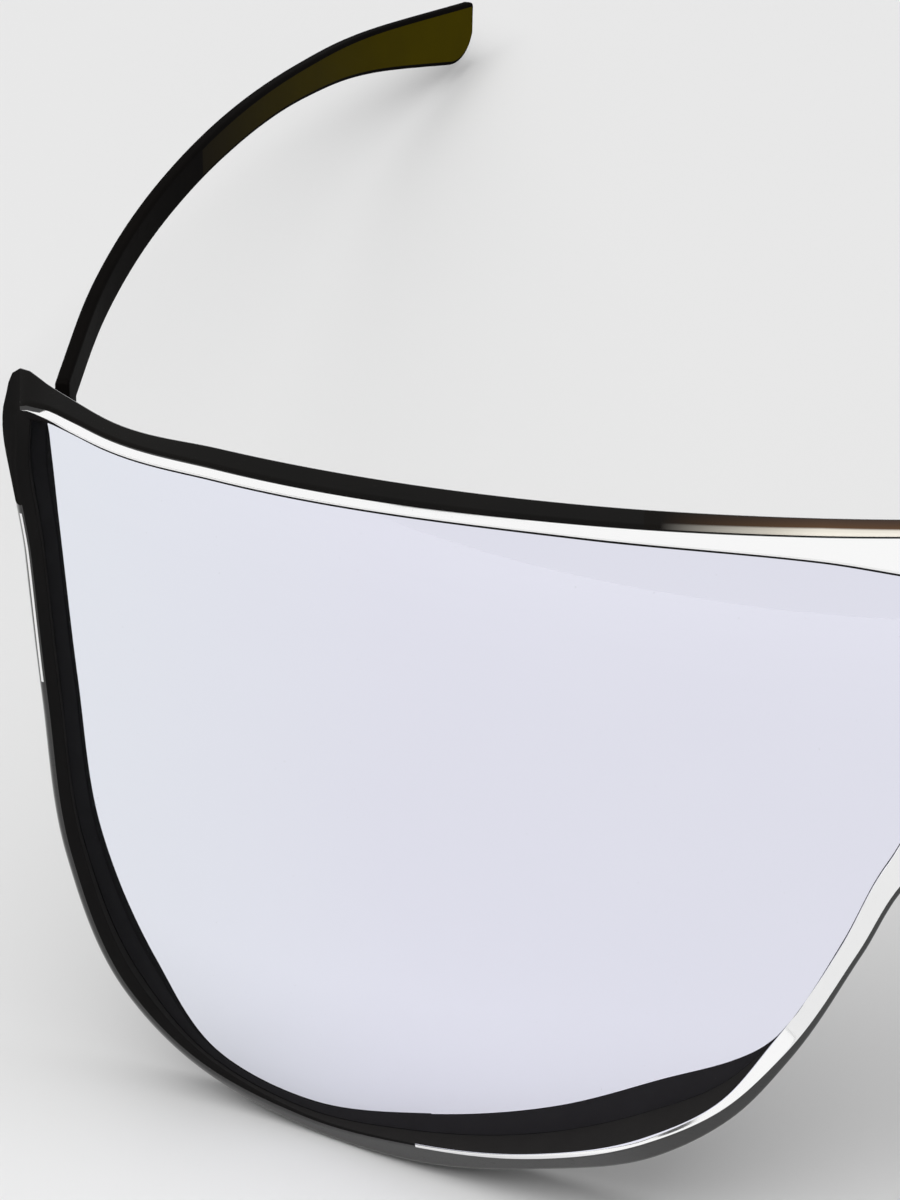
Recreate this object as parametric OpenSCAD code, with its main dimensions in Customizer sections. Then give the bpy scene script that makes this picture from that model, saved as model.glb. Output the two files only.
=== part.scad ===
// Shield sunglasses, standing open on the lower rim and the temple tips.
// X runs from side to side, Y runs from the lens back to the temple tips, Z is up.
// The origin is on the floor, under the middle of the open sunglasses.

/* [Front] */
// Width of the front across the outer edges of the rim
front_w = 148; // [130:1:165]
// Height of the front from the brow to the lowest point of the rim
front_h = 60.6; // [50:0.1:66]
// How far the lens's tallest bulge lies below the brow
equator_down = 27.7; // [22:0.1:32]
// Radius of the lens's front seen from above
wrap_r = 130; // [115:1:170]
// Radius of the lens's front seen from the side
crown_r = 120; // [95:1:200]
// How far the front leans back when the sunglasses stand, in degrees
front_lean = 6; // [2:0.5:9]

/* [Lens] */
// Thickness of the lens
lens_t = 1.8; // [1.4:0.1:2.2]
// How far the lens's edge reaches into the rim's groove
lens_bite = 0.75; // [0.5:0.05:0.9]
// Gap between the lens and each side of its groove
lens_gap = 0.06; // [0.04:0.01:0.12]

/* [Rim] */
// Width of the rim's front face where it is plain
rim_face = 1.35; // [1.2:0.05:1.8]
// Thickness of the rim in front of the lens where it is thinnest
front_lip = 0.45; // [0.4:0.05:0.8]
// Extra depth of the rim in front of the lens where the lower rim stands out most
ledge_depth = 3.3; // [1:0.1:4]
// Thickness of the rim behind the lens
back_lip = 0.5; // [0.4:0.05:0.9]
// Extra depth of the end piece that carries the hinge
end_depth = 1.5; // [0.8:0.1:2]
// How far the rear edge of the end piece stands out beyond its front edge
end_flare = 1.05; // [0.5:0.05:1.3]
// Rounding of the rim's edges
rim_round = 0.3; // [0.15:0.05:0.4]
// Height of the flat that the rim and the tips rest on
rest_cut = 0.15; // [0.05:0.05:0.3]

/* [Temples] */
// Slope of the open temples down to the floor, in degrees
temple_slope = 18; // [15:0.5:19]
// Length of a temple from the hinge pin to its end
temple_len = 146.3; // [130:0.1:150]
// How far the temple's end lies inboard of its root
temple_inset = 23; // [12:0.1:24]
// Thickness of the temple
temple_t = 1.1; // [0.9:0.05:1.3]
// Height of the temple's shaft
temple_h = 2.9; // [2.6:0.1:3.2]
// Height of the temple's flat tip
tip_h = 5.7; // [4:0.1:6]
// Radius of the lower corner of the tip
tip_corner = 3.8; // [2:0.1:4]
// Rounding of the temple's long edges
temple_round = 0.35; // [0.2:0.05:0.4]

/* [Hinge] */
// How far the hinge pin's axis lies in from the widest part of the front
pin_inset = 5.6; // [5.4:0.1:8]
// Outer radius of the knuckles
knuckle_r = 1.3; // [1.2:0.05:1.4]
// Height of one knuckle
knuckle_h = 1.2; // [1.1:0.05:1.4]
// How far the top knuckle lies below the temple's top edge
knuckle_down = 3.6; // [3:0.1:3.8]
// Radius of the screw's shank
screw_r = 0.65; // [0.5:0.05:0.75]
// Radius of the screw's head
screw_head_r = 1.1; // [0.9:0.05:1.2]
// Height of the screw's head
screw_head_h = 0.5; // [0.4:0.05:0.6]
// Width of the slot in the screw's head
slot_w = 0.3; // [0.2:0.05:0.4]
// Radial clearance of the screw in each knuckle
screw_fit = 0.04; // [0.02:0.01:0.08]
// Thickness of a washer
washer_t = 0.2; // [0.15:0.05:0.3]
// Radius of a washer
washer_r = 1.2; // [1.1:0.05:1.25]
// Gap on each side of a washer
washer_gap = 0.04; // [0.03:0.01:0.06]
// Thickness of the hinge leaves
leaf_t = 0.7; // [0.6:0.05:0.8]
// Length of the temple's hinge leaf behind the pin
leaf_len = 5; // [4.5:0.1:5.2]
// Width of the front's hinge leaf inboard of its knuckles
front_leaf_w = 1.5; // [1.4:0.1:2]
// Radius of the rivets
rivet_r = 0.4; // [0.35:0.05:0.45]
// Radius of the rivets' heads
rivet_head_r = 0.65; // [0.55:0.05:0.7]
// Height of the rivets' heads
rivet_head_h = 0.2; // [0.15:0.05:0.25]
// How deep the rivets reach into the front and the temple
rivet_depth = 0.7; // [0.6:0.05:0.75]
// Gap round the rivets
rivet_fit = 0.02; // [0.01:0.01:0.04]
// Gap between the temple and the front, also round the knuckles
fold_gap = 0.35; // [0.3:0.05:0.4]

/* [Nose pads] */
// How far a pad's peg lies outboard of the nose arch's side
pad_out = 2.7; // [2.2:0.1:3.2]
// How far a pad's peg lies below that place on the nose arch
pad_below = 1.1; // [0.5:0.1:2]
// Height of a pad
pad_h = 13; // [10:0.5:15]
// Width of a pad
pad_w = 6.4; // [5:0.1:8]
// Thickness of a pad
pad_t = 2.2; // [1.6:0.1:2.6]
// Angle of a pad away from straight back, in degrees
pad_splay = 32; // [20:1:40]
// Lean of a pad's lower end away from the middle, in degrees
pad_lean = 16; // [5:1:25]
// Radius of the boss on the rim and of the collar on the pad
boss_r = 1.35; // [1.2:0.05:1.5]
// Length of the boss behind the rim
boss_len = 0.8; // [0.4:0.1:1.2]
// Length of the collar on the pad
collar_len = 2.6; // [2.2:0.1:3]
// Radius of the peg that holds a pad
peg_r = 0.75; // [0.6:0.05:0.85]
// Length of the peg
peg_len = 1.6; // [1.2:0.1:1.8]
// Gap round the peg
peg_fit = 0.03; // [0.02:0.01:0.05]

/* [Hidden] */
round_fn = 48;
shell_fn = 360;
over = 1;

// Outline of the left half, from the brow's middle round to the top of the nose arch.
// Each row: share of the half width, share of the height, share of the plain face width,
// share of the ledge's depth, share of the end piece's depth, share of the end piece's flare.
outline_shares = [
    [0, 0, 2.75, 0, 0, 0],
    [-0.167, 0.003, 1.6, 0, 0, 0],
    [-0.405, 0.011, 1.04, 0, 0, 0],
    [-0.780, 0.026, 0.9, 0, 0, 0],
    [-0.902, 0.026, 0.9, 0, 0, -0.25],
    [-0.935, 0.019, 0.9, 0, 0.15, -0.25],
    [-0.967, 0.013, 0.92, 0.1, 0.65, -0.05],
    [-0.991, 0.026, 0.95, 0.32, 1, 0.75],
    [-0.999, 0.07, 0.98, 0.5, 0.95, 1],
    [-0.986, 0.2, 1, 0.55, 0.25, 0.75],
    [-0.973, 0.39, 1, 0.55, 0, 0.5],
    [-0.958, 0.622, 1, 0.54, 0, 0.28],
    [-0.909, 0.82, 1, 0.46, 0, 0.2],
    [-0.829, 0.936, 1, 0.18, 0, 0.1],
    [-0.720, 0.993, 1, 0.15, 0, 0],
    [-0.603, 0.996, 1.05, 0.5, 0, 0],
    [-0.461, 0.949, 1.05, 0.88, 0, 0],
    [-0.339, 0.883, 1.1, 1, 0, 0],
    [-0.246, 0.807, 1.15, 0.55, 0, 0],
    [-0.197, 0.734, 1.2, 0.22, 0, 0],
    [-0.128, 0.576, 1.4, 0.18, 0, 0],
    [-0.071, 0.452, 1.62, 0.12, 0, 0],
    [0, 0.392, 1.7, 0.08, 0, 0]];
// Longest step along the outline
outline_step = 4;

// Temple, from its root to its end.
// Each row: share of the length, share of the inset, share of the end's bend downwards,
// share of the way from the shaft's height to the tip's.
temple_shares = [
    [0, 0, 0, 0],
    [0.038, 0, 0, 0],
    [0.189, 0.01, 0, 0],
    [0.331, 0.071, 0, 0],
    [0.534, 0.241, 0.073, 0],
    [0.736, 0.458, 0.4, 0.05],
    [0.878, 0.653, 0.742, 0.34],
    [1, 1, 1, 1]];
// Longest step along the temple
temple_step = 5;

half_w = front_w / 2;
pin_x = half_w - pin_inset;

// Curves through the rows of a table, evenly smooth along their length
function span(a, b) = norm([b[0] - a[0], b[1] - a[1]]);
function slope_at(before, here, after) =
    let (s = span(before, here), t = span(here, after))
    ((here - before) * (t / s) + (after - here) * (s / t)) / (s + t);
function between(a, b, ma, mb, f) =
    let (h = span(a, b))
    a * (2 * f^3 - 3 * f^2 + 1) + ma * h * (f^3 - 2 * f^2 + f)
    + b * (3 * f^2 - 2 * f^3) + mb * h * (f^3 - f^2);
function steps(a, b, step) = ceil(span(a, b) / step);

// Outline rows in real sizes: across, up from the equator, face, ledge, end, flare
function outline_row(r, side) = [
    side * r[0] * half_w,
    equator_down - r[1] * front_h,
    r[2] * rim_face,
    r[3] * ledge_depth,
    r[4] * end_depth,
    r[5] * end_flare];
outline_last = len(outline_shares) - 1;
outline_rows = concat(
    [for (r = outline_shares) outline_row(r, 1)],
    [for (i = [outline_last - 1 : -1 : 1]) outline_row(outline_shares[i], -1)]);
row_count = len(outline_rows);
function row(i) = outline_rows[(i + row_count) % row_count];
function row_slope(i) = slope_at(row(i - 1), row(i), row(i + 1));
outline = [
    for (i = [0 : row_count - 1])
        let (n = max(2, steps(row(i), row(i + 1), outline_step)))
            for (k = [0 : n - 1])
                between(row(i), row(i + 1), row_slope(i), row_slope(i + 1), k / n)];
station_count = len(outline);
function station(i) = outline[(i + station_count) % station_count];
// Direction from the outline towards the lens
function inward(i) =
    let (d = station(i + 1) - station(i - 1), h = norm([d[0], d[1]]))
    [-d[1], d[0]] / h;
function inset_point(i, depth) =
    let (n = inward(i), p = station(i))
    [p[0] + n[0] * depth, p[1] + n[1] * depth];

// Depth of the lens's front, or of a surface off behind it, at a place across and up
function shell_depth(off, across, up) =
    let (ring = wrap_r - crown_r + sqrt((crown_r - off)^2 - up^2))
    wrap_r - sqrt(ring^2 - across^2);

// Rim section: distance in from the outline and distance behind the lens's front
lens_back = lens_t + lens_gap;
rim_back = lens_back + back_lip;
function rim_section(face, ledge, end, flare) =
    let (
        r = rim_round,
        s = rim_round * (1 - sqrt(0.5)),
        front = -front_lip - ledge,
        back = rim_back + end)
    [
        [0, front + r],
        [s, front + s],
        [r, front],
        [face - r, front],
        [face - s, front + s],
        [face, front + r],
        [face, -lens_gap],
        [face - lens_bite, -lens_gap],
        [face - lens_bite, lens_back],
        [face, lens_back],
        [face, back - r],
        [face - r, back],
        [r - flare, back],
        [-flare, back - r]];
function rim_ring(i) =
    let (p = station(i))
    [
        for (q = rim_section(p[2], p[3], p[4], p[5]))
            let (m = inset_point(i, q[0]))
                [m[0], shell_depth(q[1], m[0], m[1]), m[1]]];
rim_rings = [for (i = [0 : station_count - 1]) rim_ring(i)];
lens_outline = [
    for (i = [0 : station_count - 1]) inset_point(i, station(i)[2] - lens_bite + lens_gap)];

// The front's own frame leans back: across, behind, up become X, Y, Z before it is set down
function leaned(p) = [
    p[0],
    p[1] * cos(front_lean) + p[2] * sin(front_lean),
    p[2] * cos(front_lean) - p[1] * sin(front_lean)];
rim_points_leaned = [for (ring = rim_rings) for (p = ring) leaned(p)];
low_z = min([for (p = rim_points_leaned) p[2]]);
near_y = min(0, min([for (p = rim_points_leaned) p[1]]));

// Hinge: the pin's axis starts level with the temple's top edge, behind the end piece
pin_gap = knuckle_r + fold_gap;
pin_back = pin_gap + leaf_t;
temple_out = pin_gap + temple_t;
root_x = pin_x + temple_out;
root_up = equator_down - outline_shares[4][1] * front_h;
pin_leaned = leaned([-root_x, shell_depth(rim_back + end_depth, root_x, root_up), root_up])
    + [temple_out, fold_gap * cos(temple_slope), -fold_gap * sin(temple_slope)];
pin_height = pin_leaned[2] - low_z - rest_cut;
tip_bend = (pin_height + rest_cut - temple_len * sin(temple_slope)) / cos(temple_slope) - tip_h;

// Temple sweep in the hinge's frame: inboard, back along the temple, up
function temple_row(r) = [
    r[0] * temple_len,
    r[1] * temple_inset,
    r[2] * tip_bend,
    temple_h + r[3] * (tip_h - temple_h)];
temple_rows = [for (r = temple_shares) temple_row(r)];
temple_last = len(temple_rows) - 1;
function temple_slope_at(i) =
    i == 0 ? (temple_rows[1] - temple_rows[0]) / span(temple_rows[0], temple_rows[1])
    : i == temple_last
    ? (temple_rows[i] - temple_rows[i - 1]) / span(temple_rows[i - 1], temple_rows[i])
    : slope_at(temple_rows[i - 1], temple_rows[i], temple_rows[i + 1]);
function temple_at(i, f) =
    between(temple_rows[i], temple_rows[i + 1], temple_slope_at(i), temple_slope_at(i + 1), f);
temple_run = [
    for (i = [0 : temple_last - 1])
        let (n = steps(temple_rows[i], temple_rows[i + 1], temple_step))
            for (k = [0 : n - 1]) temple_at(i, k / n)];
temple_end = temple_rows[temple_last];
// Steps of the rounded end, as shares of the tip's corner left before the end
end_shares = [1, 0.7, 0.45, 0.25, 0.1, 0.02];
function end_row(share) =
    let (f = 1 - share * tip_corner / span(temple_rows[temple_last - 1], temple_end))
    temple_at(temple_last - 1, f);
function end_cut(share) = tip_corner * (1 - sqrt(1 - (1 - share)^2));
temple_line = concat(
    [for (p = temple_run) if (p[0] < temple_end[0] - tip_corner * 1.2) [p[0], p[1], p[2], p[3], 0]],
    [for (s = end_shares) let (p = end_row(s)) [p[0], p[1], p[2], p[3], end_cut(s)]]);
temple_stations = len(temple_line);
function temple_dir(i) =
    let (
        a = temple_line[max(0, i - 1)],
        b = temple_line[min(temple_stations - 1, i + 1)],
        d = [b[1] - a[1], b[0] - a[0], a[2] - b[2]])
    d / norm(d);
// Section across the temple: inboard from the outer face and up from the top edge
function temple_section(t, h, r) =
    let (s = r * (1 - sqrt(0.5)))
    [
        [0, -h + r], [s, -h + s], [r, -h],
        [t - r, -h], [t - s, -h + s], [t, -h + r],
        [t, -r], [t - s, -s], [t - r, 0],
        [r, 0], [s, -s], [0, -r]];
function temple_ring(i) =
    let (
        p = temple_line[i],
        d = temple_dir(i),
        side = [d[1], -d[0], 0] / norm([d[1], d[0]]),
        up = cross(side, d),
        root = [-temple_out + p[1], p[0], -p[2]])
    [
        for (q = temple_section(temple_t, p[3] - p[4], temple_round))
            root + side * q[0] + up * q[1]];
temple_rings = [for (i = [0 : temple_stations - 1]) temple_ring(i)];

// From the hinge's frame to the leaned frame
function hinge_to_leaned(p) = pin_leaned + [
    p[0],
    p[1] * cos(temple_slope) + p[2] * sin(temple_slope),
    p[2] * cos(temple_slope) - p[1] * sin(temple_slope)];
far_y = max([for (ring = temple_rings) for (p = ring) hinge_to_leaned(p)[1]]);
set_down = [0, -(near_y + far_y) / 2, -low_z - rest_cut];

// Places along the pin's axis, measured from the temple's top edge
knuckle_step = knuckle_h + washer_t + 2 * washer_gap;
top_knuckle_z = -knuckle_down - knuckle_h;
mid_knuckle_z = top_knuckle_z - knuckle_step;
low_knuckle_z = mid_knuckle_z - knuckle_step;
leaf_z = low_knuckle_z;
leaf_h = -knuckle_down - leaf_z;
tab_z = leaf_z - fold_gap;
front_rivet_x = knuckle_r + front_leaf_w / 2;
temple_rivet_y = (pin_gap + leaf_len) / 2;
rivet_heights = [leaf_z + leaf_h / 4, leaf_z + leaf_h * 3 / 4];

// Where the pad's peg starts behind the rim, beside this row of the outline
pad_row = outline_rows[20];
pad_across = pad_out - pad_row[0];
pad_up = pad_row[1] - pad_below;
peg_start = [-pad_across, shell_depth(rim_back, pad_across, pad_up) + boss_len, pad_up];
// Rings of a pad: share of the half height, share of the full width and thickness
pad_shares = [
    [-1, 0.12], [-0.96, 0.36], [-0.86, 0.62], [-0.7, 0.82], [-0.45, 0.95], [-0.15, 1],
    [0.15, 1], [0.45, 0.95], [0.7, 0.82], [0.86, 0.62], [0.96, 0.36], [1, 0.12]];
pad_rings = [
    for (r = pad_shares)
        [
            for (a = [0 : 360 / 20 : 359])
                [
                    r[1] * pad_t / 2 * cos(a),
                    -r[1] * pad_w / 2 * sin(a),
                    r[0] * pad_h / 2]]];

module ring_sweep(rings, closed) {
    n = len(rings);
    m = len(rings[0]);
    last = closed ? n - 1 : n - 2;
    polyhedron(
        points = [for (ring = rings) for (p = ring) p],
        faces = concat(
            [
                for (i = [0 : last]) for (j = [0 : m - 1])
                    [i * m + j, i * m + (j + 1) % m, ((i + 1) % n) * m + (j + 1) % m]],
            [
                for (i = [0 : last]) for (j = [0 : m - 1])
                    [i * m + j, ((i + 1) % n) * m + (j + 1) % m, ((i + 1) % n) * m + j]],
            closed ? [] : [[for (j = [m - 1 : -1 : 0]) j], [for (j = [0 : m - 1]) (n - 1) * m + j]]),
        convexity = 8);
}

module set_front() translate(set_down) rotate([-front_lean, 0, 0]) children();
module set_hinge() translate(set_down + pin_leaned) rotate([-temple_slope, 0, 0]) children();
module on_side(side) {
    if (side > 0) mirror([1, 0, 0]) children();
    else children();
}
module below_floor() {
    translate([-front_w, -front_w, -front_w]) cube([2 * front_w, 2 * front_w, front_w]);
}

// Solid of everything behind a surface that lies off behind the lens's front
module behind_shell(off) {
    translate([0, wrap_r, 0])
        rotate_extrude($fn = shell_fn)
            intersection() {
                translate([wrap_r - crown_r, 0]) circle(r = crown_r - off, $fn = shell_fn);
                translate([0, -front_h]) square([wrap_r + over, 2 * front_h]);
            }
}

// Shared shapes of the hinge, on the left side with the pin's axis upright
module on_pin(r, low, high) {
    translate([0, 0, low]) cylinder(r = r, h = high - low, $fn = round_fn);
}
module front_rivet(r, near, far) {
    for (z = rivet_heights)
        translate([front_rivet_x, near, z])
            rotate([90, 0, 0]) cylinder(r = r, h = near - far, $fn = round_fn);
}
module temple_rivet(r, near, far) {
    for (z = rivet_heights)
        translate([far, temple_rivet_y, z])
            rotate([0, 90, 0]) cylinder(r = r, h = near - far, $fn = round_fn);
}

// Block moulded behind the end piece, which the front's hinge leaf is riveted to
module hinge_block() {
    side = temple_out + rim_face * 3 / 2;
    wide = front_rivet_x + 2 * rivet_r + fold_gap;
    far = pin_back + 2 * temple_out;
    translate([0, 0, tab_z])
        linear_extrude(height = leaf_h + 1.5 * fold_gap)
            polygon([
                [-side, -fold_gap],
                [-pin_gap, -fold_gap],
                [-pin_gap, -pin_back],
                [wide - leaf_t, -pin_back],
                [wide, -pin_back - leaf_t],
                [wide, -far],
                [-side, -far]]);
}

module pad_boss() {
    translate(peg_start + [0, -boss_len - back_lip / 2, 0])
        rotate([-90, 0, 0]) cylinder(r = boss_r, h = boss_len + back_lip / 2, $fn = round_fn);
    translate(peg_start - [0, back_lip, 0])
        rotate([-90, 0, 0]) cylinder(r = peg_r, h = peg_len + back_lip, $fn = round_fn);
}

module front_rim() {
    color([0.07, 0.06, 0.05])
        difference() {
            union() {
                set_front() ring_sweep(rim_rings, true);
                for (side = [-1, 1])
                    on_side(side) {
                        intersection() {
                            set_hinge() hinge_block();
                            set_front() behind_shell(lens_back + back_lip / 3);
                        }
                        set_front() pad_boss();
                    }
            }
            for (side = [-1, 1])
                on_side(side)
                    set_hinge()
                        front_rivet(rivet_r + rivet_fit, over - pin_back, -pin_back - 2 * rivet_depth);
            below_floor();
        }
}

module shield_lens() {
    color([0.86, 0.86, 0.92])
        set_front()
            intersection() {
                translate([0, wrap_r, 0])
                    rotate_extrude($fn = shell_fn)
                        intersection() {
                            translate([wrap_r - crown_r, 0])
                                difference() {
                                    circle(r = crown_r, $fn = shell_fn);
                                    circle(r = crown_r - lens_t, $fn = shell_fn);
                                }
                            translate([wrap_r / 2, -front_h]) square([wrap_r, 2 * front_h]);
                        }
                translate([0, wrap_r / 2, 0])
                    rotate([90, 0, 0])
                        linear_extrude(height = wrap_r) polygon(lens_outline);
            }
}

module nose_pad(side) {
    color([0.75, 0.76, 0.78])
        on_side(side)
            set_front()
                translate(peg_start)
                    difference() {
                        union() {
                            rotate([-90, 0, 0]) cylinder(r = boss_r, h = collar_len, $fn = round_fn);
                            translate([0, collar_len + pad_t / 4, 0])
                                rotate([0, pad_lean, pad_splay]) ring_sweep(pad_rings, false);
                        }
                        translate([0, -over, 0])
                            rotate([-90, 0, 0])
                                cylinder(r = peg_r + peg_fit, h = peg_len + peg_fit + over, $fn = round_fn);
                    }
}

module front_hinge_leaf(side) {
    color([0.55, 0.54, 0.52])
        on_side(side)
            set_hinge()
                difference() {
                    union() {
                        for (z = [low_knuckle_z, top_knuckle_z]) {
                            on_pin(knuckle_r, z, z + knuckle_h);
                            translate([-knuckle_r, -pin_back + leaf_t / 2, z])
                                cube([2 * knuckle_r, pin_back - leaf_t / 2, knuckle_h]);
                        }
                        translate([-knuckle_r, -pin_back, leaf_z])
                            cube([2 * knuckle_r + front_leaf_w, leaf_t, leaf_h]);
                    }
                    on_pin(screw_r + screw_fit, leaf_z - over, over);
                    front_rivet(rivet_r + rivet_fit, -knuckle_r, -pin_back - over);
                }
}

module front_leaf_rivets(side) {
    color([0.6, 0.59, 0.57])
        on_side(side)
            set_hinge() {
                head = leaf_t - pin_back;
                front_rivet(rivet_r, head + rivet_head_h / 2, rivet_fit - pin_back - 2 * rivet_depth);
                front_rivet(rivet_head_r, head + rivet_head_h, head);
            }
}

module hinge_screw(side) {
    color([0.6, 0.59, 0.57])
        on_side(side)
            set_hinge()
                difference() {
                    union() {
                        on_pin(screw_r, leaf_z, -knuckle_down + screw_head_h / 2);
                        on_pin(screw_head_r, -knuckle_down, -knuckle_down + screw_head_h);
                    }
                    translate([-screw_head_r - over, -slot_w / 2, -knuckle_down + screw_head_h / 2])
                        cube([2 * screw_head_r + 2 * over, slot_w, screw_head_h]);
                }
}

module hinge_washers(side) {
    color([0.6, 0.59, 0.57])
        on_side(side)
            set_hinge()
                for (z = [low_knuckle_z, mid_knuckle_z])
                    difference() {
                        on_pin(washer_r, z + knuckle_h + washer_gap, z + knuckle_h + washer_gap + washer_t);
                        on_pin(screw_r + screw_fit, z, z + 2 * knuckle_h);
                    }
}

module temple(side) {
    color([0.09, 0.085, 0.05])
        on_side(side)
            difference() {
                set_hinge() {
                    ring_sweep(temple_rings, false);
                    translate([-temple_out, 0, 0])
                        rotate([90, 0, 90])
                            linear_extrude(height = temple_t)
                                polygon([
                                    [0, -temple_h / 2],
                                    [0, tab_z + temple_round],
                                    [temple_round, tab_z],
                                    [leaf_len - 3 * temple_round, tab_z],
                                    [leaf_len, tab_z + 3 * temple_round],
                                    [leaf_len + fold_gap, -temple_h / 2]]);
                }
                set_hinge() temple_rivet(rivet_r + rivet_fit, over - pin_gap, -pin_gap - rivet_depth);
                below_floor();
            }
}

module temple_hinge_leaf(side) {
    color([0.55, 0.54, 0.52])
        on_side(side)
            set_hinge()
                difference() {
                    union() {
                        on_pin(knuckle_r, mid_knuckle_z, mid_knuckle_z + knuckle_h);
                        translate([-knuckle_r, 0, mid_knuckle_z]) cube([leaf_t, pin_gap + leaf_t, knuckle_h]);
                        translate([-pin_gap, pin_gap, leaf_z]) cube([leaf_t, leaf_len - pin_gap, leaf_h]);
                    }
                    on_pin(screw_r + screw_fit, leaf_z, over);
                    temple_rivet(rivet_r + rivet_fit, over - pin_gap + leaf_t, -pin_gap - over);
                }
}

module temple_leaf_rivets(side) {
    color([0.6, 0.59, 0.57])
        on_side(side)
            set_hinge() {
                head = leaf_t - pin_gap;
                temple_rivet(rivet_r, head + rivet_head_h / 2, rivet_fit - pin_gap - rivet_depth);
                temple_rivet(rivet_head_r, head + rivet_head_h, head);
            }
}

front_rim();
shield_lens();
nose_pad(-1);  // left_nose_pad
nose_pad(1);  // right_nose_pad
front_hinge_leaf(-1);  // left_front_hinge_leaf
front_hinge_leaf(1);  // right_front_hinge_leaf
front_leaf_rivets(-1);  // left_front_leaf_rivets
front_leaf_rivets(1);  // right_front_leaf_rivets
hinge_screw(-1);  // left_hinge_screw
hinge_screw(1);  // right_hinge_screw
hinge_washers(-1);  // left_hinge_washers
hinge_washers(1);  // right_hinge_washers
temple(-1);  // left_temple
temple(1);  // right_temple
temple_hinge_leaf(-1);  // left_temple_hinge_leaf
temple_hinge_leaf(1);  // right_temple_hinge_leaf
temple_leaf_rivets(-1);  // left_temple_leaf_rivets
temple_leaf_rivets(1);  // right_temple_leaf_rivets
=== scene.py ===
import math

import bmesh
import bpy
from mathutils import Matrix, Vector


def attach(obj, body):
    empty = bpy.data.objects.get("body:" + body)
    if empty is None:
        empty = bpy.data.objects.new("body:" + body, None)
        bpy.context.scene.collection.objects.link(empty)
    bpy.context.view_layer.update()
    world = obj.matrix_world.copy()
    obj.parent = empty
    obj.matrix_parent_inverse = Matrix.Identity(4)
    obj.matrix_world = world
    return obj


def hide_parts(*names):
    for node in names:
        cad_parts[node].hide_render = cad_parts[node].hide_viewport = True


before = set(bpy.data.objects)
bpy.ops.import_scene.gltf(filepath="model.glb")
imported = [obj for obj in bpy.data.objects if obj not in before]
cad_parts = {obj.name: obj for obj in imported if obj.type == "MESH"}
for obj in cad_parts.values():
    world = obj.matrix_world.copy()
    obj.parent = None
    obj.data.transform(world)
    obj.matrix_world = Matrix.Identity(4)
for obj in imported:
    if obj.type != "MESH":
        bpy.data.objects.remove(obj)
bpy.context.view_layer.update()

# ---------------------------------------------------------------------------------------------
# Front rim. One moulding in black plastic, with a bright metallised face along the brow and the
# nose and an amber line on the brow's front edge, whose pale front rim is a painted highlight. A
# groove round its inside holds the lens. The end pieces carry a block for each hinge, and two
# bosses behind the nose arch hold the pads.
# ---------------------------------------------------------------------------------------------
MM = 0.001
HALF_WIDTH = 74.0
FRONT_HEIGHT = 60.6
EQUATOR_DOWN = 27.7
WRAP_RADIUS = 130.0
CROWN_RADIUS = 120.0
FRONT_LEAN = math.radians(6)
FRONT_PLACE = Vector((0, -83.8416, 34.3475))
PLAIN_FACE = 1.35
FRONT_LIP = 0.45
LEDGE_DEPTH = 3.3
BACK_LIP = 0.5
END_DEPTH = 1.5
END_FLARE = 1.05
EDGE_ROUND = 0.3
CREST_ROUND = 0.22
BEVEL_ROUND = 0.12
BACK_ROUND = 0.08
GROOVE_ROUND = 0.03
RIM_STEP = 0.7
LENS_THICK = 1.8
LENS_BITE = 0.75
LENS_GAP = 0.01
LENS_BACK = LENS_THICK + LENS_GAP
RIM_BACK = LENS_BACK + BACK_LIP

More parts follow.
